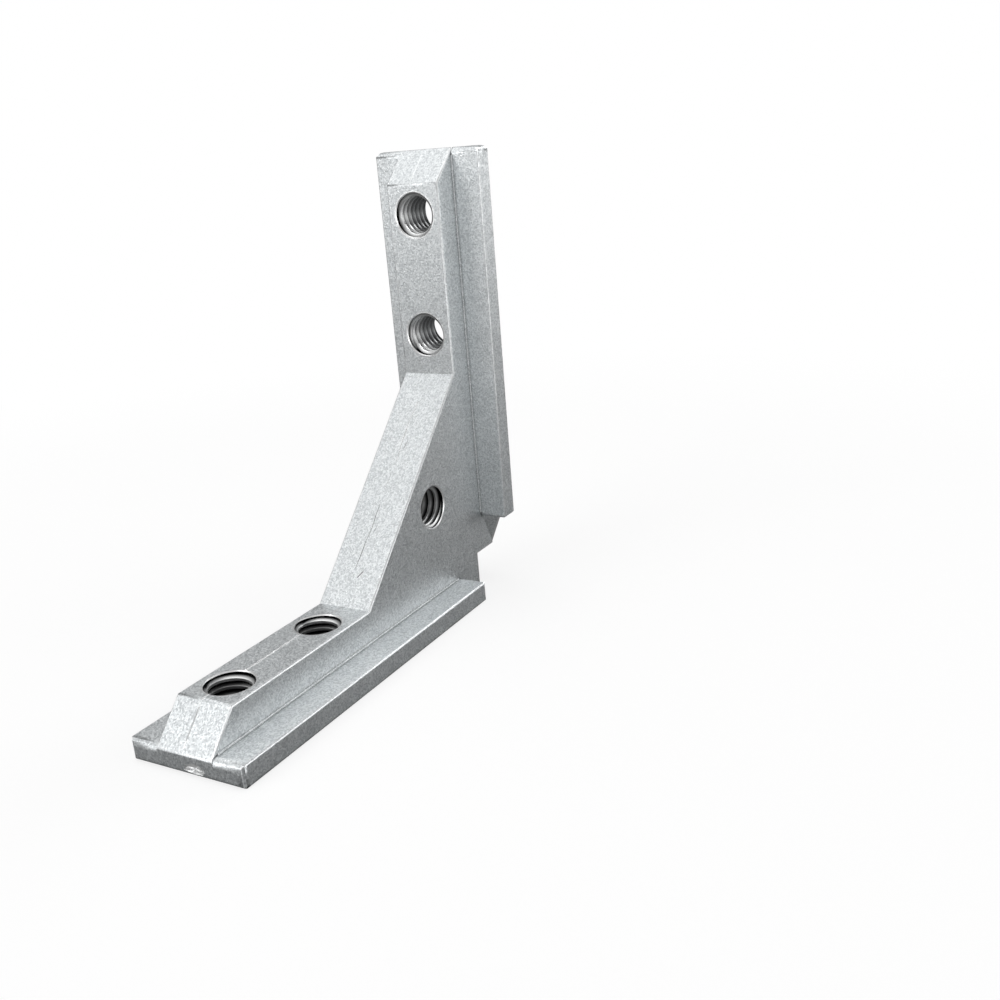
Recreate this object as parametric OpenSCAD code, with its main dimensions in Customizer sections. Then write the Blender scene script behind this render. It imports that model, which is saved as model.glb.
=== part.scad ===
// Corner bracket: a one-piece casting that joins two slotted bars at a right angle.
// Each leg is a flange that slides inside a slot, with a web that fills the slot's mouth.
// A gusset in the plane of the webs stiffens the corner, and the heel is notched to clear it.
// The foot runs along +X, the upright rises along +Z, and both are the same leg, mirrored.
// The origin is under the middle of the bracket's length, on the face it stands on.

/* [Legs] */
// Length of each leg, from the outer corner to its toe
leg_len = 62; // [60:0.5:90]
// Width of each flange, which slides inside the slot
flange_w = 16.4; // [14.5:0.1:20]
// Thickness of each flange
flange_t = 2.8; // [2.2:0.1:3.4]
// Distance from the outer corner to the start of each flange
flange_start = 9.8; // [9:0.1:12]

/* [Web] */
// Width of the webs and the gusset, which fill the slot's mouth
web_w = 8; // [7.6:0.1:9]
// Height of each web above the inner face of its flange
web_rise = 4.2; // [3.6:0.1:6]
// Distance from the outer corner to where the gusset's slope meets each web
gusset_reach = 32.1; // [28:0.1:33.5]

/* [Toe] */
// Length of the slope that brings each web down at its toe
toe_slope = 4.3; // [3:0.1:5]
// How far below the flange's inner face that slope ends
toe_drop = 0.3; // [0.1:0.05:0.6]
// Radius of the bends at the top and at the end of that slope
toe_bend = 0.8; // [0.4:0.1:1.2]
// Radius of the toe's inner edge, on each side of the web
toe_round = 1; // [0.6:0.1:1.4]
// Radius of the toe's outer edge, on the face that lies in the slot
toe_under = 0.7; // [0.3:0.1:1.2]
// Radius of the toe's corners, seen square to the flange
toe_corner = 1; // [0.6:0.1:2.5]

/* [Heel] */
// Side of the square notch that clears the corner between the bars
notch = 4.7; // [4:0.1:6]
// Width, on the outer face, of the two wedges where they meet the flange
wedge_w = 12; // [10:0.1:13.5]
// Gap between the notch and the wedges' tips
wedge_gap = 0.3; // [0.1:0.1:1]
// How far the wedges stay below the flange's inner face
wedge_step = 0.4; // [0.2:0.1:0.8]
// Radius of the flange's corners at the heel, seen square to the flange
heel_corner = 0.8; // [0.4:0.1:1.5]
// Radius of the flange's inner and outer edges at the heel
heel_round = 0.7; // [0.3:0.1:1]

/* [Threaded holes] */
// Outer diameter of the threads, to which the mouths that show are chamfered at 45 degrees
thread_d = 6; // [5.6:0.1:6.4]
// Inner diameter of the threads, to which each hole is drilled
drill_d = 5; // [4.2:0.1:5.4]
// Distance from each toe to the centre of its outer hole
hole_from_toe = 8.3; // [7.8:0.1:10]
// Spacing of the two holes in each leg
hole_pitch = 16.1; // [12:0.1:17]
// Distance from both outer faces to the axis of the hole across the gusset
cross_hole = 15.4; // [13:0.1:16.5]

/* [Cast edges] */
// Radius along the outside edges
edge_round = 0.3; // [0.1:0.05:0.5]
// Radius of the fillet between each web and its flange
root_fillet = 0.2; // [0.1:0.1:1.2]

/* [Hidden] */
$fn = 96;

cut_margin = 1;                          // how far a cutting shape runs past what it cuts
leg_d = flange_t + web_rise;             // depth of a leg, from its outer face to its web's top
gusset_in = (notch + leg_d) / 2;         // where the gusset starts, buried in both legs
slope_bite = edge_round / 20;            // how far a sloped edge's circle stands past its faces
bend_bite = toe_bend / 160;              // how far a bend's circle stands past its faces
hole_places = [leg_len - hole_from_toe - hole_pitch, leg_len - hole_from_toe];

// What a rounded corner loses: a square less a quarter of a circle, at the origin
module corner_waste(r) {
    difference() {
        translate([-cut_margin, -cut_margin]) square(r + cut_margin);
        translate([r, r]) circle(r);
    }
}

// A rectangle from the origin, with a radius at each corner, given anticlockwise from the origin
module rounded_plate(size, radii) {
    difference() {
        square(size);
        corner_waste(radii[0]);
        translate([size.x, 0]) rotate(90) corner_waste(radii[1]);
        translate(size) rotate(180) corner_waste(radii[2]);
        translate([0, size.y]) rotate(270) corner_waste(radii[3]);
    }
}

// Carries a section, drawn as seen along the leg, from start to end along +X
module along_leg(start, end) {
    translate([start, 0, 0]) rotate([90, 0, 90]) linear_extrude(end - start) children();
}

// Carries a side view, drawn with X across and Z up, over a width centred on the bracket
module across(width) {
    translate([0, width / 2, 0]) rotate([90, 0, 0]) linear_extrude(width) children();
}

// Section of a web, rounded along its top and sunk half way into the flange
module web_section() {
    translate([-web_w / 2, flange_t / 2])
        rounded_plate([web_w, leg_d - flange_t / 2], [0, 0, edge_round, edge_round]);
}

// Section of the fillets between the web and the flange, one on each side
module fillet_section() {
    for (side = [0, 1]) mirror([side, 0]) translate([web_w / 2 + root_fillet, flange_t]) difference() {
        translate([-root_fillet - web_w / 4, -flange_t / 2])
            square([web_w / 4 + root_fillet, flange_t / 2 + root_fillet]);
        translate([0, root_fillet]) circle(root_fillet);
    }
}

// The flange is the shape that its section, its side view and its plan have in common
module flange() {
    run = leg_len - flange_start;
    intersection() {
        along_leg(flange_start, leg_len) translate([-flange_w / 2, 0])
            rounded_plate([flange_w, flange_t], [for (i = [0 : 3]) edge_round]);
        across(flange_w + 2 * cut_margin) translate([flange_start, 0])
            rounded_plate([run, flange_t], [heel_round, toe_under, toe_round, heel_round]);
        linear_extrude(leg_d) translate([flange_start, -flange_w / 2])
            rounded_plate([run, flange_w], [heel_corner, toe_corner, toe_corner, heel_corner]);
    }
}

// The web's foot between the notch and the flange, with a wedge on each side of it. Each wedge is
// what lies below one sloping plane, through its tip, the web's side and the outer face.
module wedges() {
    length = flange_start + heel_corner - notch;
    run = flange_start - notch - wedge_gap;
    spread = (wedge_w - web_w) / 2;
    rise = flange_t - wedge_step;
    turn = atan2(spread, run);
    tilt = atan2(spread * cos(turn), rise);
    translate([notch, -web_w / 2, 0]) cube([length, web_w, flange_t]);
    difference() {
        translate([notch, -flange_w / 2, 0]) cube([length, flange_w, flange_t]);
        for (side = [0, 1]) mirror([0, side, 0])
            translate([notch + wedge_gap, web_w / 2, 0]) rotate([tilt, 0, turn])
                translate([-leg_len, 0, -leg_len]) cube([2 * leg_len, leg_len, 2 * leg_len]);
    }
}

// Takes the sharp edges off a sloped face that runs down from one point of the side view to another.
// Its circles stand a little past the faces, so that they cross them instead of just touching.
module soften_slope(top, bottom) {
    fall = top.y - bottom.y;
    run = bottom.x - top.x;
    inset = edge_round - slope_bite;
    for (side = [0, 1]) mirror([0, side, 0])
        translate([top.x, web_w / 2, top.y]) rotate([0, atan2(fall, run), 0])
            along_leg(-cut_margin, norm([fall, run]) + cut_margin) difference() {
                translate([-inset, -inset]) square(inset + cut_margin);
                translate([-inset, -inset]) circle(edge_round);
            }
}

// What a rounded bend loses at a corner of the side view, where the outline's fall steepens from
// one angle to another
module bend_waste(corner, before, after) {
    half_turn = (after - before) / 2;
    reach = toe_bend * sin(half_turn);
    depth = toe_bend * cos(half_turn);
    translate(corner) rotate(-(before + after) / 2)
        translate([0, bend_bite - toe_bend / cos(half_turn)]) difference() {
            translate([-reach, depth / 2]) square([2 * reach, toe_bend]);
            circle(toe_bend);
        }
}

// The web stands on the flange and slopes down at the toe
module web() {
    slope_top = [leg_len - toe_slope, leg_d];
    slope_end = [leg_len, flange_t - toe_drop];
    slope_angle = atan2(slope_top.y - slope_end.y, toe_slope);
    difference() {
        intersection() {
            along_leg(notch, leg_len) web_section();
            across(flange_w) difference() {
                polygon([[notch, 0], [leg_len, 0], slope_end, slope_top, [notch, leg_d]]);
                bend_waste(slope_top, 0, slope_angle);
                bend_waste(slope_end, slope_angle, 90);
            }
        }
        soften_slope(slope_top, slope_end);
    }
}

// The fillets run along the web's foot, and fade out where the toe begins to round
module fillets() {
    start = flange_start + heel_round;
    fade = leg_len - toe_round;
    intersection() {
        along_leg(start, fade) fillet_section();
        across(flange_w) polygon([[start, 0], [fade, 0], [fade, flange_t],
                                  [fade - root_fillet, flange_t + root_fillet],
                                  [start, flange_t + root_fillet]]);
    }
}

module leg() {
    flange();
    wedges();
    web();
    fillets();
}

// The gusset is a triangle whose corners are buried in the two legs
module gusset() {
    far = gusset_reach + leg_d - gusset_in;
    difference() {
        across(web_w) polygon([[gusset_in, gusset_in], [far, gusset_in], [gusset_in, far]]);
        soften_slope([gusset_in, far], [far, gusset_in]);
    }
}

// A threaded hole's bore, from z = 0 up to its length, chamfered at the top or at both mouths
module bore(length, both = false) {
    r = drill_d / 2;
    chamfer = thread_d / 2 - r;
    mouth = chamfer + cut_margin;
    translate([0, 0, -cut_margin]) cylinder(r = r, h = length + 2 * cut_margin);
    translate([0, 0, length - chamfer]) cylinder(r1 = r, r2 = r + mouth, h = mouth);
    if (both) translate([0, 0, -cut_margin]) cylinder(r1 = r + mouth, r2 = r, h = mouth);
}

// Swaps X and Z, which turns the foot into the upright
module as_upright() {
    mirror([1, 0, -1]) children();
}

module leg_bores() {
    for (x = hole_places) translate([x, 0, 0]) bore(leg_d);
}

module bracket() {
    color([0.66, 0.67, 0.68]) translate([-leg_len / 2, 0, 0]) difference() {
        union() {
            leg();
            as_upright() leg();
            gusset();
        }
        leg_bores();
        as_upright() leg_bores();
        translate([cross_hole, web_w / 2, cross_hole]) rotate([90, 0, 0]) bore(web_w, both = true);
    }
}

bracket();
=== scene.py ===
# %% [markdown]
# # A die-cast corner bracket
# The real part is one aluminium casting, shot-blasted all over, with five threads tapped into it.
# It could be drawn here from nothing, but the CAD frame already holds its solid, true to size. So
# this lesson cuts what a tap cuts, adds what a die leaves behind, and gives the metal its blasted
# skin. Every shape is true before it is lit.

# %% The frame
import math
from collections import namedtuple

import bmesh
import bpy
import numpy as np
from mathutils import Matrix, Vector


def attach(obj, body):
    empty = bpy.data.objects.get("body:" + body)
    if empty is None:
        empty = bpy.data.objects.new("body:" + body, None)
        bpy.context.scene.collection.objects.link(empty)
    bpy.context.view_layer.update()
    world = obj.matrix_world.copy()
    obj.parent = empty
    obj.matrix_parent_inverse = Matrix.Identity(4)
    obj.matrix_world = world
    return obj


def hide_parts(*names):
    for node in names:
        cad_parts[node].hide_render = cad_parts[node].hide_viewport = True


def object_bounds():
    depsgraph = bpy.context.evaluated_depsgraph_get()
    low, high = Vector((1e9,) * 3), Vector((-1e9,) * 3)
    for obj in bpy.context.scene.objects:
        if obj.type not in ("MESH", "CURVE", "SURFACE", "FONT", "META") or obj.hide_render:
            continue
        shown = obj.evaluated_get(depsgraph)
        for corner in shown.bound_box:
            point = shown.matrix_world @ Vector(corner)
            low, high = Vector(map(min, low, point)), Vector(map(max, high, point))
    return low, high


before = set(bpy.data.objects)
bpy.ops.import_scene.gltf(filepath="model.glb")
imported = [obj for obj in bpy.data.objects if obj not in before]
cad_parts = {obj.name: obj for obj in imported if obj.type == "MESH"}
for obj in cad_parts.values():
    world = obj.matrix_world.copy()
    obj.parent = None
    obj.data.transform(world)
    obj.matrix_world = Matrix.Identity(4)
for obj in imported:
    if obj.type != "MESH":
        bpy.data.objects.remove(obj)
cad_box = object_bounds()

print("CAD box in mm:", [[round(c * 1000, 2) for c in corner] for corner in cad_box])

# %% [markdown]
# ## Units and colours
# Blender works in metres and in linear light, while a maker thinks in millimetres and in the
# hex values that a paint chart gives. One factor and one function turn them round everywhere.

# %% Units and colours
MM = 0.001


def linear(hex_colour):
    """Turns an sRGB hex value into linear red, green, blue and alpha, by the sRGB curve."""
    c = np.array([int(hex_colour[i:i + 2], 16) for i in (1, 3, 5)]) / 255
    rgb = np.where(c <= 0.04045, c / 12.92, ((c + 0.055) / 1.055) ** 2.4)
    return (*map(float, rgb), 1.0)


print("mid grey #808080 is", round(linear("#808080")[0], 3), "in linear light")

# %% [markdown]
# ## The bracket's own sizes
# The frame's box gives the legs' length, and its middle is where X is 0. What a box can't tell
# is repeated here from the CAD, in millimetres. A length that the CAD measures from the outer
# corner, where both legs start, lies half a leg further back here.

# %% The bracket's own sizes
half = cad_box[1][0] / MM            # half a leg's length
leg_depth = 7.0                      # from a leg's outer face to the top of its web
flange_t = 2.8                       # thickness of the flange
web_w = 8.0                          # width of the webs and the gusset
reach = 32.1 - half                  # where the gusset's slope meets the foot, along X
slope_run = 4.3                      # length of each toe's slope
toe_drop = 0.3                       # how far below the flange's face that slope ends
bore_r, thread_r = 2.5, 3.0          # inner and outer radius of the threads
pitch = 1.0                          # what a thread climbs in one turn
leg_holes = [37.6 - half, 53.7 - half]
cross_at = 15.4                      # from both outer faces to the hole through the gusset
print("legs of", round(2 * half, 2), "mm, holes along the foot at",
      [round(x, 2) for x in leg_holes])

# %% [markdown]
# ## The casting
# A CAD node arrives as loose triangles with its own normals. A copy is merged where corners
# meet, so that cutting tools find one closed skin, and the node itself is left alone.

# %% The casting
MERGE = 0.001 * MM                   # corners nearer than this are one corner
SLIVER = 0.0005 * MM                 # and shorter edges than this are closed up


def new_piece(name, mesh):
    """Puts a mesh into the scene as an object at the origin, unturned and unscaled."""
    piece = bpy.data.objects.new(name, mesh)
    bpy.context.scene.collection.objects.link(piece)
    return piece


def merged_copy(node_name, name):
    """Joins a node's loose triangles wherever two corners lie within a micrometre."""
    shell = bmesh.new()
    shell.from_mesh(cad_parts[node_name].data)
    bmesh.ops.remove_doubles(shell, verts=shell.verts, dist=MERGE)
    bmesh.ops.dissolve_degenerate(shell, edges=shell.edges, dist=SLIVER)
    mesh = bpy.data.meshes.new(name)
    shell.to_mesh(mesh)
    open_edges = sum(not e.is_manifold for e in shell.edges)
    shell.free()
    if "custom_normal" in mesh.attributes:
        mesh.attributes.remove(mesh.attributes["custom_normal"])
    mesh.materials.clear()
    print(name, "has", len(mesh.polygons), "triangles and", open_edges, "open edges")
    return new_piece(name, mesh)


casting = merged_copy("bracket", "corner_bracket_casting")

# %% [markdown]
# ## Closed tools
# Everything that cuts the casting, or is joined to it, has to be a closed mesh. Such a mesh is
# worked out as rows of points on a grid, with quads between the rows and a fan of triangles at
# each end. Each part is kept as its points in mm, its quads, and its rims with what closes them.

# %% Closed tools
def skin(grid, wrap):
    """Quads between neighbouring rows and columns of a grid of vertex numbers. With wrap, the
    last row meets the first."""
    rows = np.vstack([grid, grid[:1]]) if wrap else grid
    quads = np.stack([rows[:-1, :-1], rows[1:, :-1], rows[1:, 1:], rows[:-1, 1:]], axis=-1)
    return quads.reshape(-1, 4)


def tube(rows, first, last):
    """Rows of points along a tube, the last beside the first. The rim where the rows start is
    closed by a fan from the point first, and the rim where they end by one from last."""
    grid = np.arange(rows.shape[0] * rows.shape[1]).reshape(rows.shape[:2])
    points = np.vstack([rows.reshape(-1, 3), [first, last]])
    count = len(points)
    return points, skin(grid, wrap=True), [(grid[:, 0], count - 2), (grid[:, -1], count - 1)]


def solid(name, parts):
    """Joins parts (points in mm, quads, rims with the point that closes each) into one mesh."""
    points, faces, start = [], [], 0
    for co, quads, rims in parts:
        points.append(co)
        faces += (quads + start).tolist()
        for rim, middle in rims:
            fan = np.stack([rim, np.roll(rim, -1), np.full(len(rim), middle)], axis=-1)
            faces += (fan + start).tolist()
        start += len(co)
    mesh = bpy.data.meshes.new(name)
    mesh.from_pydata(np.vstack(points) * MM, [], faces)
    shell = bmesh.new()
    shell.from_mesh(mesh)
    bmesh.ops.recalc_face_normals(shell, faces=shell.faces)
    shell.to_mesh(mesh)
    shell.free()
    print(name, "has", len(parts), "parts and", len(mesh.polygons), "faces")
    return new_piece(name, mesh)


# %% [markdown]
# ## Where the holes are
# Each leg has two holes and the gusset has one across it. A hole has its own frame: it starts on
# the far face and runs along its axis to the mouth that shows. The last number turns its thread,
# as no two holes are tapped from the same start. It is where the first crest shows.

# %% Where the holes are
Hole = namedtuple("Hole", "centre along side length first_crest")
X, Y, Z = np.eye(3)
holes = [Hole(np.array([x, 0, 0]), Z, X, leg_depth, first)
         for x, first in zip(leg_holes, (0.4, 0.5))]
holes += [Hole(np.array([-half, 0, x + half]), X, Y, leg_depth, first)
          for x, first in zip(leg_holes, (0.8, 0.65))]
holes += [Hole(np.array([cross_at - half, -web_w / 2, cross_at]), Y, Z, web_w, 0.92)]


def placed(points, hole):
    """Carries points from a hole's own frame, with x towards its side and z along its axis."""
    axes = np.stack([hole.side, np.cross(hole.along, hole.side), hole.along])
    return points @ axes + hole.centre


print(len(holes), "holes, the last through the gusset at", holes[-1].centre.round(2).tolist())

# %% [markdown]
# ## Drilling
# A drill and a countersink leave a round bore with a 45 degree mouth. One profile, turned about
# the hole's axis, cuts both at once, with enough facets to look round up close. The legs are
# countersunk on the web's side alone, and the hole through the gusset on both sides.

# %% Drilling
SIDES = 96                           # facets round a hole
GROWN = 0.015                        # the drill takes a hair off the CAD's bore and its chamfer
PAST = 1.0                           # how far it runs past the face
LIP = 0.13                           # width of the bright 45 degree lip at the mouth
RUN_OUT = (0.20, 0.34, 0.44, 0.50)   # depths at which the groove under it opens and closes
RUN_OUT_STEP = 0.06                  # the groove's last step above the bore


def turned(profile):
    """A profile of (radius, z) points turned about z: x = r cos(a), y = r sin(a), with z as the
    profile gives it, for angles a all round."""
    r, z = np.array(profile, float).T
    a = np.linspace(0, 2 * np.pi, SIDES, endpoint=False)[:, None]
    rows = np.stack([r * np.cos(a), r * np.sin(a), z + 0 * a], axis=-1)
    return tube(rows, [0, 0, z[0]], [0, 0, z[-1]])


def drill_profile(length, both):
    """Radius against z: a 45 degree lip at the mouth, or at both, with the round groove under it
    where the thread runs out, and a straight bore between."""
    r, mouth = bore_r + GROWN, thread_r + GROWN
    opens, ends, closes, closed_at = RUN_OUT
    lip = [(mouth + PAST, PAST), (mouth - LIP, -LIP), (thread_r, -opens), (thread_r, -ends),
           (r + RUN_OUT_STEP, -closes), (r, -closed_at)]
    start = [(at_r, -z) for at_r, z in lip] if both else [(r, -PAST)]
    return start + [(at_r, length + z) for at_r, z in reversed(lip)]


parts = []
for hole in holes:
    points, quads, rims = turned(drill_profile(hole.length, both=hole.length == web_w))
    parts.append((placed(points, hole), quads, rims))
drills = solid("drills", parts)

# %% [markdown]
# ## Tapping
# A thread is a groove that climbs one pitch in each turn. Here the tap is a tube whose radius
# depends only on how far a point is along the groove's profile, on a grid whose rows climb
# with the helix, so that crests and roots stay crisp. After one turn, row k meets row k + 3.

# %% Tapping
BELOW = 3                            # whole turns that the tap runs on below the hole


def tap(length, first_crest):
    """A 60 degree thread: for the k-th row and the angle a, z = profile z of k + pitch a / 2 pi,
    and the radius is the outer one at the root and falls by the flank's slope towards the crest.
    At angle 0 a crest lies the distance first_crest below the upper mouth."""
    root_flat = pitch / 8
    fall = (pitch / 2 - root_flat / 2) / math.tan(math.radians(30))
    phase = np.array([-root_flat / 2, root_flat / 2, pitch / 2])
    radius = np.array([thread_r, thread_r, thread_r - fall])
    step = len(phase)
    rows = (math.ceil(length / pitch) + BELOW + 1) * step
    k = np.arange(rows + 1)
    a = np.arange(SIDES + 1)[:, None] / SIDES
    start = (length - first_crest - pitch / 2) % pitch - BELOW * pitch
    z = (k // step) * pitch + phase[k % step] + pitch * a + start
    r = radius[k % step] + 0 * a
    co = np.stack([r * np.cos(2 * np.pi * a), r * np.sin(2 * np.pi * a), z], axis=-1)
    grid = np.arange((SIDES + 1) * (rows + 1)).reshape(SIDES + 1, rows + 1)
    grid[-1, :rows + 1 - step] = grid[0, step:]
    bottom = np.concatenate([grid[:-1, 0], grid[0, step:0:-1]])
    upper = np.concatenate([grid[:, rows], grid[-1, rows - 1:rows - step:-1]])
    points = np.vstack([co.reshape(-1, 3), [[0, 0, z.min() - pitch], [0, 0, z.max() + pitch]]])
    count = len(points)
    return points, skin(grid, wrap=False), [(bottom, count - 2), (upper, count - 1)]


def without_spares(points, quads, rims):
    """Drops the points that no face uses, which the helix leaves where its ends meet."""
    used = np.unique(np.concatenate([quads.ravel()] + [np.append(r, m) for r, m in rims]))
    new = np.full(len(points), -1)
    new[used] = np.arange(len(used))
    return points[used], new[quads], [(new[r], new[m]) for r, m in rims]


parts = []
for hole in holes:
    points, quads, rims = without_spares(*tap(hole.length, hole.first_crest))
    parts.append((placed(points, hole), quads, rims))
taps = solid("taps", parts)

# %% [markdown]
# ## What the die leaves
# Two halves of a die meet in the bracket's middle plane, and a thin flash of metal creeps in
# between them. Trimming and blasting leave it as a low ridge along the foot's web and both toe
# slopes. It could be drawn with bump alone, but a real ridge catches the light from every side.
# It is a bar of triangular section, carried along a path and joined to the casting.

# %% What the die leaves
SEAM_Y = -0.3                        # the seam lies a little to one side of the middle
SINK = 0.1                           # how deep a bar's foot is buried
SEAM_POINTS = 24                     # points along one run of the flash
SLOPE_RISE = 0.95                    # height of the toe slope's normal for each mm along X
FLASH_START = 0.25                   # the flash starts this far from the gusset
FLASH_STOP = (0.35, 0.37)            # and ends this far before the slope's end, in X and Z


def bar(path, outward, width, height):
    """A bar of triangular section: each point of the path carries the two feet, half a width to
    each side and sunk below the face, and the tip, which stands the local height above it."""
    path, outward = np.array(path, float), np.array(outward, float)
    side = np.cross(np.gradient(path, axis=0), outward)
    side /= np.linalg.norm(side, axis=1, keepdims=True)
    height = np.broadcast_to(np.array(height, float), len(path))[:, None]
    foot = path - outward * SINK
    rows = np.stack([foot - side * width / 2, path + outward * height, foot + side * width / 2])
    return tube(rows, foot[0], foot[-1])


def straight(start, end):
    """Evenly spaced points between two points of the side view (x, z), in the seam's plane."""
    t = np.linspace(0, 1, SEAM_POINTS)[:, None]
    x, z = (np.array(start) * (1 - t) + np.array(end) * t).T
    return np.stack([x, np.full(SEAM_POINTS, SEAM_Y), z], axis=-1)


def mirrored(points):
    """The foot's points turned into the upright's: x and z change places about the heel."""
    x, y, z = points.T
    return np.stack([z - half, y, x + half], axis=-1)


along = np.linspace(0, 1, SEAM_POINTS)
taper = np.minimum(1, 4 * np.minimum(along, along[::-1]) + 0.15)       # low at both ends
slope_out = np.array([1, 0, SLOPE_RISE]) / math.hypot(1, SLOPE_RISE)
slope_top = (half - slope_run, leg_depth)
slope_end = (half - FLASH_STOP[0], flange_t - toe_drop + FLASH_STOP[1])
flat = straight((reach + FLASH_START, leg_depth), slope_top)
slope = straight(slope_top, slope_end)
flash = solid("flash", [
    bar(flat, Z, width=0.46, height=0.12),
    bar(slope, slope_out, width=0.6, height=0.06 * taper),
    bar(mirrored(slope)[::-1], slope_out[::-1], width=0.6, height=0.035 * taper)])

# %% [markdown]
# ## The line on the gusset
# On the gusset's slope the same seam has sunk into a thin, broken line, with a few nicks beside
# it. Each mark is the same kind of bar, turned over, so that it cuts a groove. The line wanders,
# and it is cut as short stretches: one long cut leaves a face with a rim so long and crooked
# that it doesn't split cleanly into triangles.

# %% The line on the gusset
STRETCHES = [                        # start, end, points and depth in mm
    (0.15, 0.42, 30, 0.08), (0.46, 0.56, 10, 0.03), (0.60, 0.87, 30, 0.08)]
NICKS = [                            # start and y there, end and y there, and depth in mm
    (0.118, 0.3, 0.148, 0.95, 0.14), (0.30, 0.25, 0.33, 0.55, 0.05),
    (0.655, 0.25, 0.70, 0.5, 0.05)]
gusset_run = reach + half - leg_depth
inward = -np.array([1, 0, 1]) / math.sqrt(2)


def on_gusset(t, y):
    """Points on the gusset's slope, from t = 0 at the foot to t = 1 at the upright: x falls from
    the reach as z rises from the web's top, by the same length."""
    rise = gusset_run * np.asarray(t, float)
    return np.stack([reach - rise, np.asarray(y, float) + 0 * rise, leg_depth + rise], axis=-1)


def stretch(start, end, count, deep):
    """A groove along the seam, which wanders by two sine waves of 0.10 and 0.05 mm, and whose
    depth fades in and out as the root of half a sine wave and swells by a quarter between."""
    t = np.linspace(start, end, count)
    wander = SEAM_Y + 0.10 * np.sin(23 * t) + 0.05 * np.sin(61 * t + 1)
    fade = np.sin(np.pi * np.linspace(0.06, 0.94, count)) ** 0.5
    depth = deep * fade * (0.75 + 0.25 * np.sin(37 * t))
    return bar(on_gusset(t, wander)[::-1], inward, width=0.30, height=depth[::-1])


def nick(t0, y0, t1, y1, deep):
    """A short straight groove between two points, as deep as half a sine wave along it."""
    s = np.linspace(0, 1, 8)
    path = on_gusset(t0 + (t1 - t0) * s, y0 + (y1 - y0) * s)
    return bar(path[::-1], inward, width=0.34, height=deep * np.sin(np.pi * (0.1 + 0.8 * s)))


score = solid("score", [stretch(*s) for s in STRETCHES] + [nick(*n) for n in NICKS])

# %% [markdown]
# ## The gate
# Metal ran into the die through a gate at the foot's toe. The runner was broken off there, which
# leaves a shallow, torn patch in the end face. Its tool is a flat lump, because a round one with
# a few waves in it leaves the ragged outline of a break.

# %% The gate
GATE_Y, GATE_Z = 1.3, 1.0            # middle of the patch on the end face
GATE_SIZE, GATE_DEPTH = (2.7, 1.25), 0.16


def gate_lump(size, deep):
    """A closed lump: a sphere's grid, flattened to the size in Y and Z and to the depth in X,
    with its radius moved by three small sine waves and its depth by a fourth."""
    u = np.linspace(0, 2 * np.pi, 49)[:-1][:, None]
    v = np.linspace(0, np.pi, 25)[1:-1]
    swell = (1 + 0.10 * np.sin(3 * u + 2 * v) + 0.08 * np.sin(7 * u - 3 * v)
             + 0.05 * np.sin(13 * u + 11 * v))
    x = deep * np.cos(v) * (1 + 0.25 * np.sin(5 * u + 1)) + 0 * u
    y = size[0] / 2 * swell * np.cos(u) * np.sin(v)
    z = size[1] / 2 * swell * np.sin(u) * np.sin(v)
    return tube(np.stack([x, y, z], axis=-1), [deep, 0, 0], [-deep, 0, 0])


points, quads, rims = gate_lump(GATE_SIZE, GATE_DEPTH)
gate = solid("gate", [(points + [half, GATE_Y, GATE_Z], quads, rims)])

# %% [markdown]
# ## Cutting
# A Boolean made for closed meshes keeps the casting closed. The finish of a cut face comes from
# the tool that made it, so each tool carries the material that its cut should have. The area as
# faces and as triangles must agree, or a large face has split badly.

# %% Cutting
def material(name):
    """A new material with an empty node tree."""
    made = bpy.data.materials.new(name)
    made.use_nodes = True
    made.node_tree.nodes.clear()
    return made


def cut(piece, tool, finish, operation="DIFFERENCE"):
    """Applies one Boolean to the piece's own mesh and removes the tool."""
    tool.data.materials.append(finish)
    step = piece.modifiers.new("cut", "BOOLEAN")
    step.operation = operation
    step.object = tool
    step.solver = "MANIFOLD"
    step.material_mode = "TRANSFER"
    bpy.context.view_layer.update()
    result = piece.evaluated_get(bpy.context.evaluated_depsgraph_get())
    mesh = bpy.data.meshes.new_from_object(result)
    piece.modifiers.remove(step)
    old, piece.data = piece.data, mesh
    bpy.data.meshes.remove(old)
    bpy.data.objects.remove(tool)


blasted = material("shot_blasted_die_cast_aluminium")
tapped = material("tapped_aluminium_with_painted_shade")
torn = material("torn_aluminium_gate")
rubbed = material("rubbed_flash_with_painted_highlight")
scored = material("scored_seam_with_painted_shade")
casting.data.materials.append(blasted)
cut(casting, flash, rubbed, "UNION")
cut(casting, drills, tapped)
cut(casting, taps, tapped)
cut(casting, score, scored)
cut(casting, gate, torn)

# %% Measuring the cut casting
def closed(piece):
    """Counts edges that don't join exactly two faces, and gives the volume in cubic mm."""
    shell = bmesh.new()
    shell.from_mesh(piece.data)
    found = sum(not e.is_manifold for e in shell.edges), round(shell.calc_volume() / MM ** 3, 1)
    shell.free()
    return found


print("after cutting:", len(casting.data.polygons), "faces, open edges and mm3:", closed(casting))
casting.data.calc_loop_triangles()
as_faces = sum(face.area for face in casting.data.polygons) / MM ** 2
as_triangles = sum(face.area for face in casting.data.loop_triangles) / MM ** 2
print("area as faces and as triangles:", round(as_faces, 2), round(as_triangles, 2))

# %% [markdown]
# ## Where grooves and depth lie
# A thread's grooves and the deep end of its bore are given painted shade. Two attributes
# say how far each corner of the casting lies behind the crests, and how deep in its hole.

# %% Where grooves and depth lie
CREST = 0.04                         # metal this close to the bore's radius is still a crest
GROOVE = 0.14                        # and this much further out the groove's painted shade is full
BRIGHT_LIP = 0.17                    # depth down to which the mouth gets no painted shade
NEAR = 0.1                           # a corner belongs to a hole this far past its threads


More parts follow.
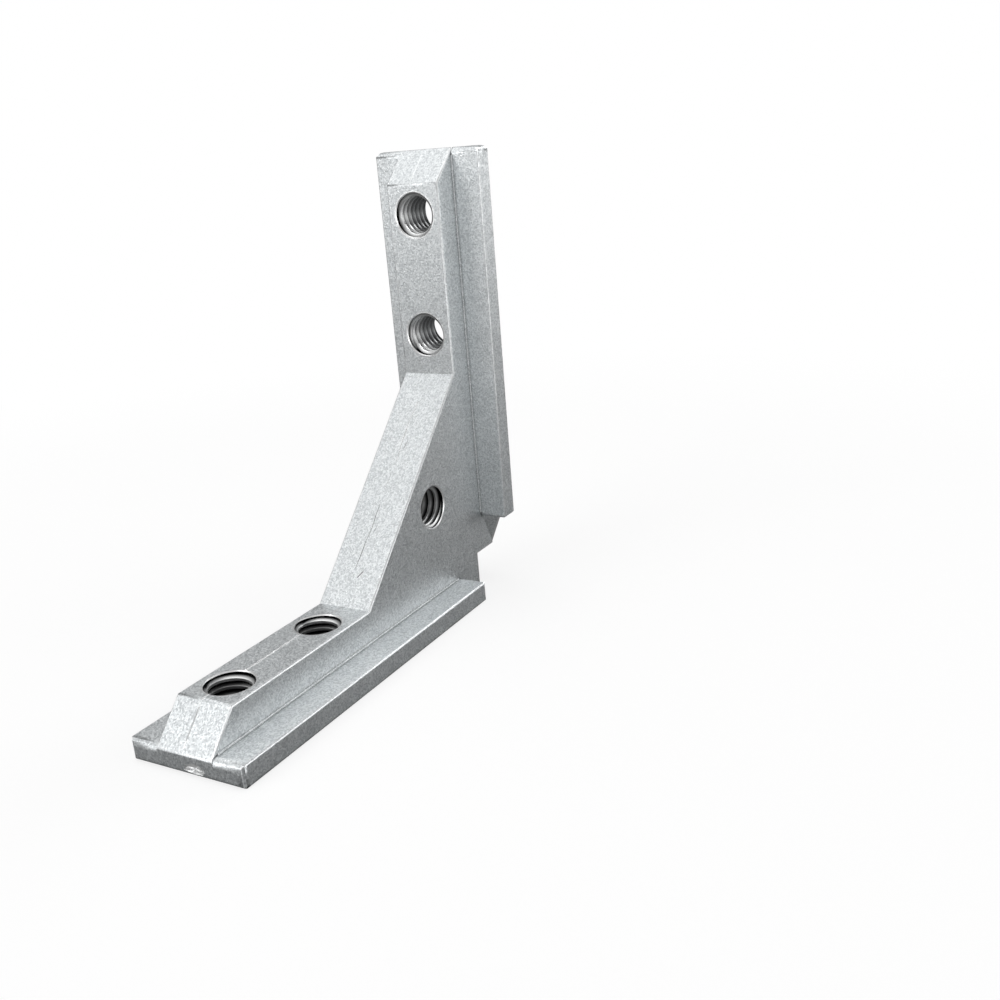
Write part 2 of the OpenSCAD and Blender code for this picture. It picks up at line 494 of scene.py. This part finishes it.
def mark_bores(mesh):
    """For the nearest hole, with r from its axis and d below its mouth: the groove's share is
    (r - bore radius - CREST) / GROOVE below the lip, and the depth's share is d / length."""
    co = np.empty(3 * len(mesh.vertices))
    mesh.vertices.foreach_get("co", co)
    co = co.reshape(-1, 3) / MM
    best = np.full(len(co), np.inf)
    groove, depth = np.zeros(len(co)), np.zeros(len(co))
    for hole in holes:
        z = (co - hole.centre) @ hole.along
        r = np.linalg.norm(co - hole.centre - z[:, None] * hole.along, axis=1)
        d = np.minimum(hole.length - z, z if hole.length == web_w else np.inf)
        near = (r < best) & (r < thread_r + NEAR)
        best[near] = r[near]
        share = np.clip((r - bore_r - CREST) / GROOVE, 0, 1)
        groove[near] = (share * (d > BRIGHT_LIP))[near]
        depth[near] = np.clip(d / hole.length, 0, 1)[near]
    for name, values in (("groove", groove), ("depth", depth)):
        mesh.attributes.new(name, "FLOAT", "POINT").data.foreach_set("value", values)
    return int((groove > 0).sum())


print("corners in grooves:", mark_bores(casting.data))

# %% [markdown]
# ## Smooth shading
# Rounded edges should shine as one curve while flat faces stay flat. A small radius comes as two
# or three flat strips, which meet at up to 45 degrees, so angle alone can't tell them from a true
# corner. Inside corners are cast crisp, and so is every edge where a tool has cut the skin.

# %% Smooth shading
def mark_sharp(mesh, outside, inside):
    """Marks an edge sharp where it turns by more than outside degrees, or, on an inside corner,
    by more than inside degrees, or where two finishes meet."""
    shell = bmesh.new()
    shell.from_mesh(mesh)
    for face in shell.faces:
        face.smooth = True
    for edge in shell.edges:
        turn = math.degrees(edge.calc_face_angle_signed(0))
        finishes = {face.material_index for face in edge.link_faces}
        edge.smooth = -inside < turn < outside and len(finishes) == 1
    sharp = sum(not edge.smooth for edge in shell.edges)
    shell.to_mesh(mesh)
    shell.free()
    return sharp


print("sharp edges:", mark_sharp(casting.data, outside=50, inside=30))
flats = casting.modifiers.new("flats win", "WEIGHTED_NORMAL")
flats.mode = "FACE_AREA"
flats.keep_sharp = True

# %% [markdown]
# ## Nodes
# Materials are built in code, so that every number in them has its reason beside it. One helper
# adds a node, sets its inputs and makes its links, and nothing more.

# %% Nodes
def node(tree, kind, links=(), **settings):
    """Adds a node. A setting names a property of the node, or an input with _ for its spaces.
    A link gives an input, by name or number, and the socket that feeds it."""
    made = tree.nodes.new(kind)
    for key, value in settings.items():
        if hasattr(made, key):
            setattr(made, key, value)
        else:
            made.inputs[key.replace("_", " ")].default_value = value
    for where, source in links:
        tree.links.new(source, made.inputs[where])
    return made


print("finishes that wait for nodes:", [finish.name for finish in casting.data.materials])

# %% [markdown]
# ## Blasted aluminium
# The casting is a common aluminium die-casting alloy. Steel shot has been thrown at it, which
# leaves dimples about a tenth of a millimetre wide, so the eye gets a pale, even grey with a
# fine sparkle and blurred reflections. A photo of such metal could be wrapped round the part,
# but cells worked out in space fit every face at once. Each cell has its own tone, gloss and
# tilt. Tone carries most of the sparkle, because strong tilts blur into worm shapes when few
# samples are taken. Handling rubs the outside edges smooth, and their paler colour is partly
# that wear and partly a painted highlight. The inside corners get a dark colour and a dull
# gloss, and the dark colour is painted shade. Ambient occlusion finds both: it looks into the
# metal for thin edges, and out of it for nooks.

# %% Blasted aluminium
DIMPLE = 0.18 * MM                   # drawn nearly twice as wide as it is, so that it shows
PITTING = 0.24 * MM                  # width of the uneven skin between dimples, as coarse
PITTING_DEPTH = 0.04 * MM
EDGE_SHEEN_REACH, NOOK_SHADE_REACH = 0.3 * MM, 0.7 * MM      # how far the edges' wear and painted highlight, and the nooks' painted shade, reach


def near_corners(tree, reach, flat_value, corner_value, inside):
    """0 on flat skin and 1 at a corner: the share of open space within reach, scaled from its
    value on flat skin to its value at a corner. Inside looks into the metal, for outside edges."""
    space = node(tree, "ShaderNodeAmbientOcclusion", Distance=reach, inside=inside, samples=6)
    return node(tree, "ShaderNodeMapRange", [("Value", space.outputs["AO"])],
                From_Min=flat_value, From_Max=corner_value).outputs["Result"]


def leaning_normal(tree, cells, tilt):
    """The normal, moved by (cell colour - 1/2) times the tilt in each direction, with length 1
    again, so that each cell leans its own way."""
    way = node(tree, "ShaderNodeVectorMath", [(0, cells)], operation="MULTIPLY_ADD")
    way.inputs[1].default_value = (tilt, tilt, tilt)
    way.inputs[2].default_value = (-tilt / 2, -tilt / 2, -tilt / 2)
    plain = node(tree, "ShaderNodeNewGeometry").outputs["Normal"]
    moved = node(tree, "ShaderNodeVectorMath", [(0, plain), (1, way.outputs[0])])
    facet = node(tree, "ShaderNodeVectorMath", [(0, moved.outputs[0])], operation="NORMALIZE")
    return facet.outputs[0]


def finish_blasted(made, dark="#BCC0C2", light="#E9ECED", tilt=0.08):
    """Colour and roughness go from the dimples' own values to those of edges that handling has
    rubbed, whose paler colour also paints a highlight, and then to those of nooks, whose dark
    colour is painted shade. The normal leans with each dimple and is pitted by fine noise."""
    tree = made.node_tree
    place = node(tree, "ShaderNodeTexCoord").outputs["Object"]
    dimples = node(tree, "ShaderNodeTexVoronoi", [("Vector", place)], Scale=1 / DIMPLE)
    cells = dimples.outputs["Color"]
    chance = node(tree, "ShaderNodeSeparateColor", [("Color", cells)]).outputs
    worn_edge_sheen = near_corners(tree, EDGE_SHEEN_REACH, flat_value=0.98, corner_value=0.7, inside=True)
    nook_shade = near_corners(tree, NOOK_SHADE_REACH, flat_value=0.75, corner_value=0.5, inside=False)

    tone = node(tree, "ShaderNodeMix", [(0, chance["Red"])], data_type="RGBA")
    tone.inputs[6].default_value = linear(dark)
    tone.inputs[7].default_value = linear(light)
    # Edges rub paler, which is partly real wear and partly a painted highlight.
    bright = node(tree, "ShaderNodeMix", [(0, worn_edge_sheen), (6, tone.outputs[2])], data_type="RGBA")
    bright.inputs[7].default_value = linear("#F6F7F7")
    # Nooks darken towards #565A5C, which is painted shade.
    colour = node(tree, "ShaderNodeMix", [(0, nook_shade), (6, bright.outputs[2])], data_type="RGBA")
    colour.inputs[7].default_value = linear("#565A5C")

    dull = node(tree, "ShaderNodeMapRange", [("Value", chance["Green"])],
                To_Min=0.36, To_Max=0.56)
    smooth = node(tree, "ShaderNodeMix", [(0, worn_edge_sheen), (2, dull.outputs["Result"])])
    smooth.inputs[3].default_value = 0.28
    rough = node(tree, "ShaderNodeMix", [(0, nook_shade), (2, smooth.outputs[0])])
    rough.inputs[3].default_value = 0.9

    pits = node(tree, "ShaderNodeTexNoise", [("Vector", place)],
                Scale=1 / PITTING, Detail=2.0, Roughness=0.6)
    bump = node(tree, "ShaderNodeBump", [("Height", pits.outputs["Fac"]),
                                         ("Normal", leaning_normal(tree, cells, tilt))],
                Strength=0.5, Distance=PITTING_DEPTH)
    shader = node(tree, "ShaderNodeBsdfPrincipled",
                  [("Base Color", colour.outputs[2]), ("Roughness", rough.outputs[0]),
                   ("Normal", bump.outputs["Normal"])], Metallic=1.0)
    node(tree, "ShaderNodeOutputMaterial", [("Surface", shader.outputs[0])])


finish_blasted(blasted)
print("dimples", round(DIMPLE / MM, 2), "mm wide, in", len(blasted.node_tree.nodes), "nodes")

# %% [markdown]
# ## Rubbed and scored aluminium
# The flash stands proud, so it is blasted and then rubbed paler than the skin round it, and the
# paler tone also paints part of the bright line that it draws. The sunken line on the gusset is
# given darker and more uneven tones, which are painted shade in its groove. Both are the same
# skin with other tones.

# %% Rubbed and scored aluminium
# The flash's paler tones are partly rubbed metal and partly a painted highlight.
finish_blasted(rubbed, "#E4E7E8", "#F2F4F4", tilt=0.1)
# The seam's darker tones are painted shade in its groove.
finish_blasted(scored, "#6E7476", "#8E9496", tilt=0.2)
print("rubbed and scored:", len(rubbed.node_tree.nodes), "nodes each")

# %% [markdown]
# ## Tapped aluminium
# A tap leaves the same alloy freshly cut. It is smoother and brighter than the blasted skin, so
# the crests show as bright rings. Between them the metal is painted dark: this is painted shade,
# as the lamps' own shade is too pale in a bore this small. The colour is darkened by the two
# attributes, which follow the thread exactly, in the grooves and towards the bore's deep end.

# %% Tapped aluminium
TAP_MARK, TAP_MARK_DEPTH = 0.3 * MM, 0.02 * MM   # faint chatter, drawn coarse enough to show


def finish_tapped(made):
    """The colour goes from bright to grey between a twentieth and a half of the hole's depth,
    and from there to nearly black in the grooves. Both steps are painted shade."""
    tree = made.node_tree
    place = node(tree, "ShaderNodeTexCoord").outputs["Object"]
    groove = node(tree, "ShaderNodeAttribute", attribute_name="groove").outputs["Fac"]
    depth = node(tree, "ShaderNodeAttribute", attribute_name="depth").outputs["Fac"]
    # Painted shade: the bore darkens towards its deep end.
    far = node(tree, "ShaderNodeMapRange", [("Value", depth)],
               From_Min=0.05, From_Max=0.5, To_Max=0.85)
    crest = node(tree, "ShaderNodeMix", [(0, far.outputs["Result"])], data_type="RGBA")
    crest.inputs[6].default_value = linear("#F8F9F9")
    crest.inputs[7].default_value = linear("#3A3D3F")
    # Painted shade: the grooves turn nearly black.
    colour = node(tree, "ShaderNodeMix", [(0, groove), (6, crest.outputs[2])], data_type="RGBA")
    colour.inputs[7].default_value = linear("#0A0B0C")
    marks = node(tree, "ShaderNodeTexNoise", [("Vector", place)], Scale=1 / TAP_MARK)
    bump = node(tree, "ShaderNodeBump", [("Height", marks.outputs["Fac"])],
                Strength=0.2, Distance=TAP_MARK_DEPTH)
    shader = node(tree, "ShaderNodeBsdfPrincipled",
                  [("Base Color", colour.outputs[2]), ("Normal", bump.outputs["Normal"])],
                  Metallic=1.0, Roughness=0.38)
    node(tree, "ShaderNodeOutputMaterial", [("Surface", shader.outputs[0])])


finish_tapped(tapped)
print("tapped:", len(tapped.node_tree.nodes), "nodes")

# %% [markdown]
# ## Torn aluminium
# Where the runner broke off, the metal is torn and has never been blasted, so it is bright and
# rough. Its crystals are too fine to show, and are drawn about three times as coarse.

# %% Torn aluminium
CRYSTAL, CRYSTAL_DEPTH = 0.35 * MM, 0.12 * MM


def finish_torn(made):
    """One bright colour, on a surface moved by noise as wide as a crystal."""
    tree = made.node_tree
    place = node(tree, "ShaderNodeTexCoord").outputs["Object"]
    crystals = node(tree, "ShaderNodeTexNoise", [("Vector", place)],
                    Scale=1 / CRYSTAL, Detail=4.0)
    bump = node(tree, "ShaderNodeBump", [("Height", crystals.outputs["Fac"])],
                Strength=0.8, Distance=CRYSTAL_DEPTH)
    shader = node(tree, "ShaderNodeBsdfPrincipled", [("Normal", bump.outputs["Normal"])],
                  Metallic=1.0, Roughness=0.55)
    shader.inputs["Base Color"].default_value = linear("#F1F2F2")
    node(tree, "ShaderNodeOutputMaterial", [("Surface", shader.outputs[0])])


finish_torn(torn)
print("torn:", len(torn.node_tree.nodes), "nodes")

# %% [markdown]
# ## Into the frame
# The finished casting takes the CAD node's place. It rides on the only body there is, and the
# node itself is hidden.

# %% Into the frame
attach(casting, "root")
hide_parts("bracket")
print("the casting has", len(casting.data.materials), "finishes and stands for the CAD node")

# %% [markdown]
# ## A white floor that keeps the shadow
# The photo's ground is pure white. Making it white with lamps would burn out the metal, so the
# paper is pale grey to the lamps and glows white for the camera. The glow is partly see-through
# near the bracket, which leaves its shadow, and complete further out, which hides the horizon.
# Metal mirrors a weaker share of it, as it mirrors paper that lies in its own shade.

# %% A white floor that keeps the shadow
FLOOR_SIZE = 6.0
CLEAR_FROM, CLEAR_TO = 0.10, 0.22    # where the shadow fades out, in metres from the middle
SHADOW_SHARE = 0.22                  # how much of the lamps' own light shows on the floor
MIRRORED = 0.05                      # strength of the white that metal sees
WHITE = linear("#FFFFFF")


def ground_mask(tree, near, far):
    """How far a point of the floor is from the bracket, from 0 at near to 1 at far, in metres."""
    place = node(tree, "ShaderNodeTexCoord").outputs["Object"]
    away = node(tree, "ShaderNodeVectorMath", [(0, place)], operation="LENGTH")
    return node(tree, "ShaderNodeMapRange", [("Value", away.outputs["Value"])],
                interpolation_type="SMOOTHSTEP", From_Min=near, From_Max=far).outputs["Result"]


def background_rays(tree):
    """Two sockets: 1 for rays from the camera, and 1 for rays that metal or glass sends on. The
    second is the larger of the glossy and the transmission ray."""
    ray = node(tree, "ShaderNodeLightPath").outputs
    sent_on = node(tree, "ShaderNodeMath", [(0, ray["Is Glossy Ray"]),
                                            (1, ray["Is Transmission Ray"])], operation="MAXIMUM")
    return ray["Is Camera Ray"], sent_on.outputs[0]


def by_ray(tree, plain, to_metal, to_camera):
    """The plain shader, replaced by a second for what metal mirrors and a third for the camera."""
    camera_ray, metal_ray = background_rays(tree)
    lit = node(tree, "ShaderNodeMixShader", [(0, metal_ray), (1, plain), (2, to_metal)])
    both = node(tree, "ShaderNodeMixShader", [(0, camera_ray), (1, lit.outputs[0]),
                                              (2, to_camera)])
    return both.outputs[0]


floor = new_piece("floor", bpy.data.meshes.new("floor"))
s = FLOOR_SIZE / 2
floor.data.from_pydata([(-s, -s, 0), (s, -s, 0), (s, s, 0), (-s, s, 0)], [], [(0, 1, 2, 3)])
paper = material("white_paper_sweep")
tree = paper.node_tree
matt = node(tree, "ShaderNodeBsdfDiffuse", Color=linear("#747474"))
faint = node(tree, "ShaderNodeEmission", Color=WHITE, Strength=MIRRORED)
metal_sees = node(tree, "ShaderNodeAddShader", [(0, matt.outputs[0]), (1, faint.outputs[0])])
cover = node(tree, "ShaderNodeMapRange", [("Value", ground_mask(tree, CLEAR_FROM, CLEAR_TO))],
             To_Min=1 - SHADOW_SHARE)
shaded = node(tree, "ShaderNodeBsdfDiffuse", Color=WHITE)
glow = node(tree, "ShaderNodeEmission", Color=WHITE, Strength=1.0)
seen = node(tree, "ShaderNodeMixShader", [(0, cover.outputs["Result"]), (1, shaded.outputs[0]),
                                          (2, glow.outputs[0])])
sheet = by_ray(tree, matt.outputs[0], metal_sees.outputs[0], seen.outputs[0])
node(tree, "ShaderNodeOutputMaterial", [("Surface", sheet)])
floor.data.materials.append(paper)
print("floor", FLOOR_SIZE, "m wide, showing", SHADOW_SHARE, "of the lamps' light near the bracket")

# %% [markdown]
# ## The room
# Walls and ceiling send a little light from all around, which a real studio always has. They
# could be built, but a world of one plain strength does the same and leaves nothing in view. The
# camera sees it as white, so that no horizon shows behind the floor.

# %% The room
ROOM = 0.25                          # strength of the light from all around
world = bpy.data.worlds.new("studio")
bpy.context.scene.world = world
world.use_nodes = True
tree = world.node_tree
tree.nodes.clear()
plain, mirror, white = (node(tree, "ShaderNodeBackground", Color=WHITE, Strength=strength)
                        for strength in (ROOM, ROOM + MIRRORED, 1.0))
walls = by_ray(tree, plain.outputs[0], mirror.outputs[0], white.outputs[0])
node(tree, "ShaderNodeOutputWorld", [("Surface", walls)])
print("light from all around:", ROOM)

# %% [markdown]
# ## Softboxes
# Blasted metal shows what stands around it, blurred. Each face of the bracket looks at another
# part of the studio, so round softboxes give each face its own grey: the slopes see the
# high ones and shine, while the flange's edge looks under them at the floor and stays dark. The
# small rim lamp stands where the long level edges mirror it, and draws them as bright lines. A
# card that lies on the floor, out of the picture, does the same for the upright's edges.

# %% Softboxes
BOX_SIZE, SMALL_SIZE = 0.5, 0.2
BOX_DISTANCE = 0.7
MIDDLE = Vector((0, 0, 0.03))        # the bracket's middle, which the lamps face
SOFTBOXES = [                        # name, azimuth, elevation, radiance and size
    ("front_right", 45, 8, 2.5, BOX_SIZE), ("front_left", 337.5, 30, 2.45, BOX_SIZE),
    ("left", 315, 8, 1.4, BOX_SIZE), ("high_left", 300, 55, 0.75, BOX_SIZE),
    ("high_back", 240, 55, 1.05, BOX_SIZE), ("overhead", 0, 90, 1.2, BOX_SIZE),
    ("right", 112.5, 30, 1.4, BOX_SIZE), ("back_right", 135, 8, 1.7, BOX_SIZE),
    ("rim", 172, 33, 6.0, SMALL_SIZE)]


def softbox(name, azimuth, elevation, radiance, size):
    """A disc lamp that faces the bracket, from the azimuth x towards y and the elevation, both in
    degrees. A disc shines with a power of radiance times pi times its area."""
    lamp = bpy.data.lights.new(name, "AREA")
    lamp.shape = "DISK"
    lamp.size = size
    lamp.energy = radiance * math.pi * math.pi * (size / 2) ** 2
    box = bpy.data.objects.new(name, lamp)
    a, e = math.radians(azimuth), math.radians(elevation)
    way = Vector((math.cos(e) * math.cos(a), math.cos(e) * math.sin(a), math.sin(e)))
    box.location = MIDDLE + way * BOX_DISTANCE
    box.rotation_euler = way.to_track_quat("Z", "Y").to_euler()
    box.visible_camera = False
    bpy.context.scene.collection.objects.link(box)
    return box


for row in SOFTBOXES:
    softbox(*row)
card = softbox("card", 60, 0, 0.8, SMALL_SIZE)
card.location = (0.08, 0.14, 0.002)  # two millimetres above the floor, beside the picture
card.rotation_euler = (math.pi, 0, 0)                     # and turned to shine upwards
print(len(bpy.data.lights), "softboxes, most of", BOX_SIZE, "m")

# %% [markdown]
# ## The camera
# A photograph fixes where its camera stood. The place, the direction and the lens were fitted to
# the bracket's corners in the photo, and the camera leans a few degrees to one side. The turn is
# built from its three axes, which shows what a camera's matrix holds: right, up and backwards.

# %% The camera
AZIMUTH, ELEVATION, ROLL = (math.radians(a) for a in (29.73, 18.15, 4.42))
EYE = Vector((101.1, 81.3, 61.5)) * MM
SENSOR = 36                          # width of the film in mm
FOCAL = 1.073                        # focal length for each unit of the film's width

forward = Vector((-math.cos(ELEVATION) * math.cos(AZIMUTH),
                  -math.cos(ELEVATION) * math.sin(AZIMUTH), -math.sin(ELEVATION)))
level = forward.cross(Vector((0, 0, 1))).normalized()
right = level * math.cos(ROLL) - level.cross(forward) * math.sin(ROLL)
up = right.cross(forward)
camera = bpy.data.objects.new("camera", bpy.data.cameras.new("camera"))
camera.matrix_world = Matrix((right, up, -forward)).transposed().to_4x4()
camera.location = EYE
camera.data.sensor_width = SENSOR
camera.data.lens = SENSOR * FOCAL
camera.data.clip_start = 1 * MM
bpy.context.scene.collection.objects.link(camera)
bpy.context.scene.camera = camera
print("camera", round((EYE - MIDDLE).length / MM), "mm away with a lens of",
      round(camera.data.lens, 1), "mm")

# %% [markdown]
# ## Finish
# The view transform named Standard shows a colour as it is written.

# %% Finish
bpy.context.scene.view_settings.view_transform = "Standard"
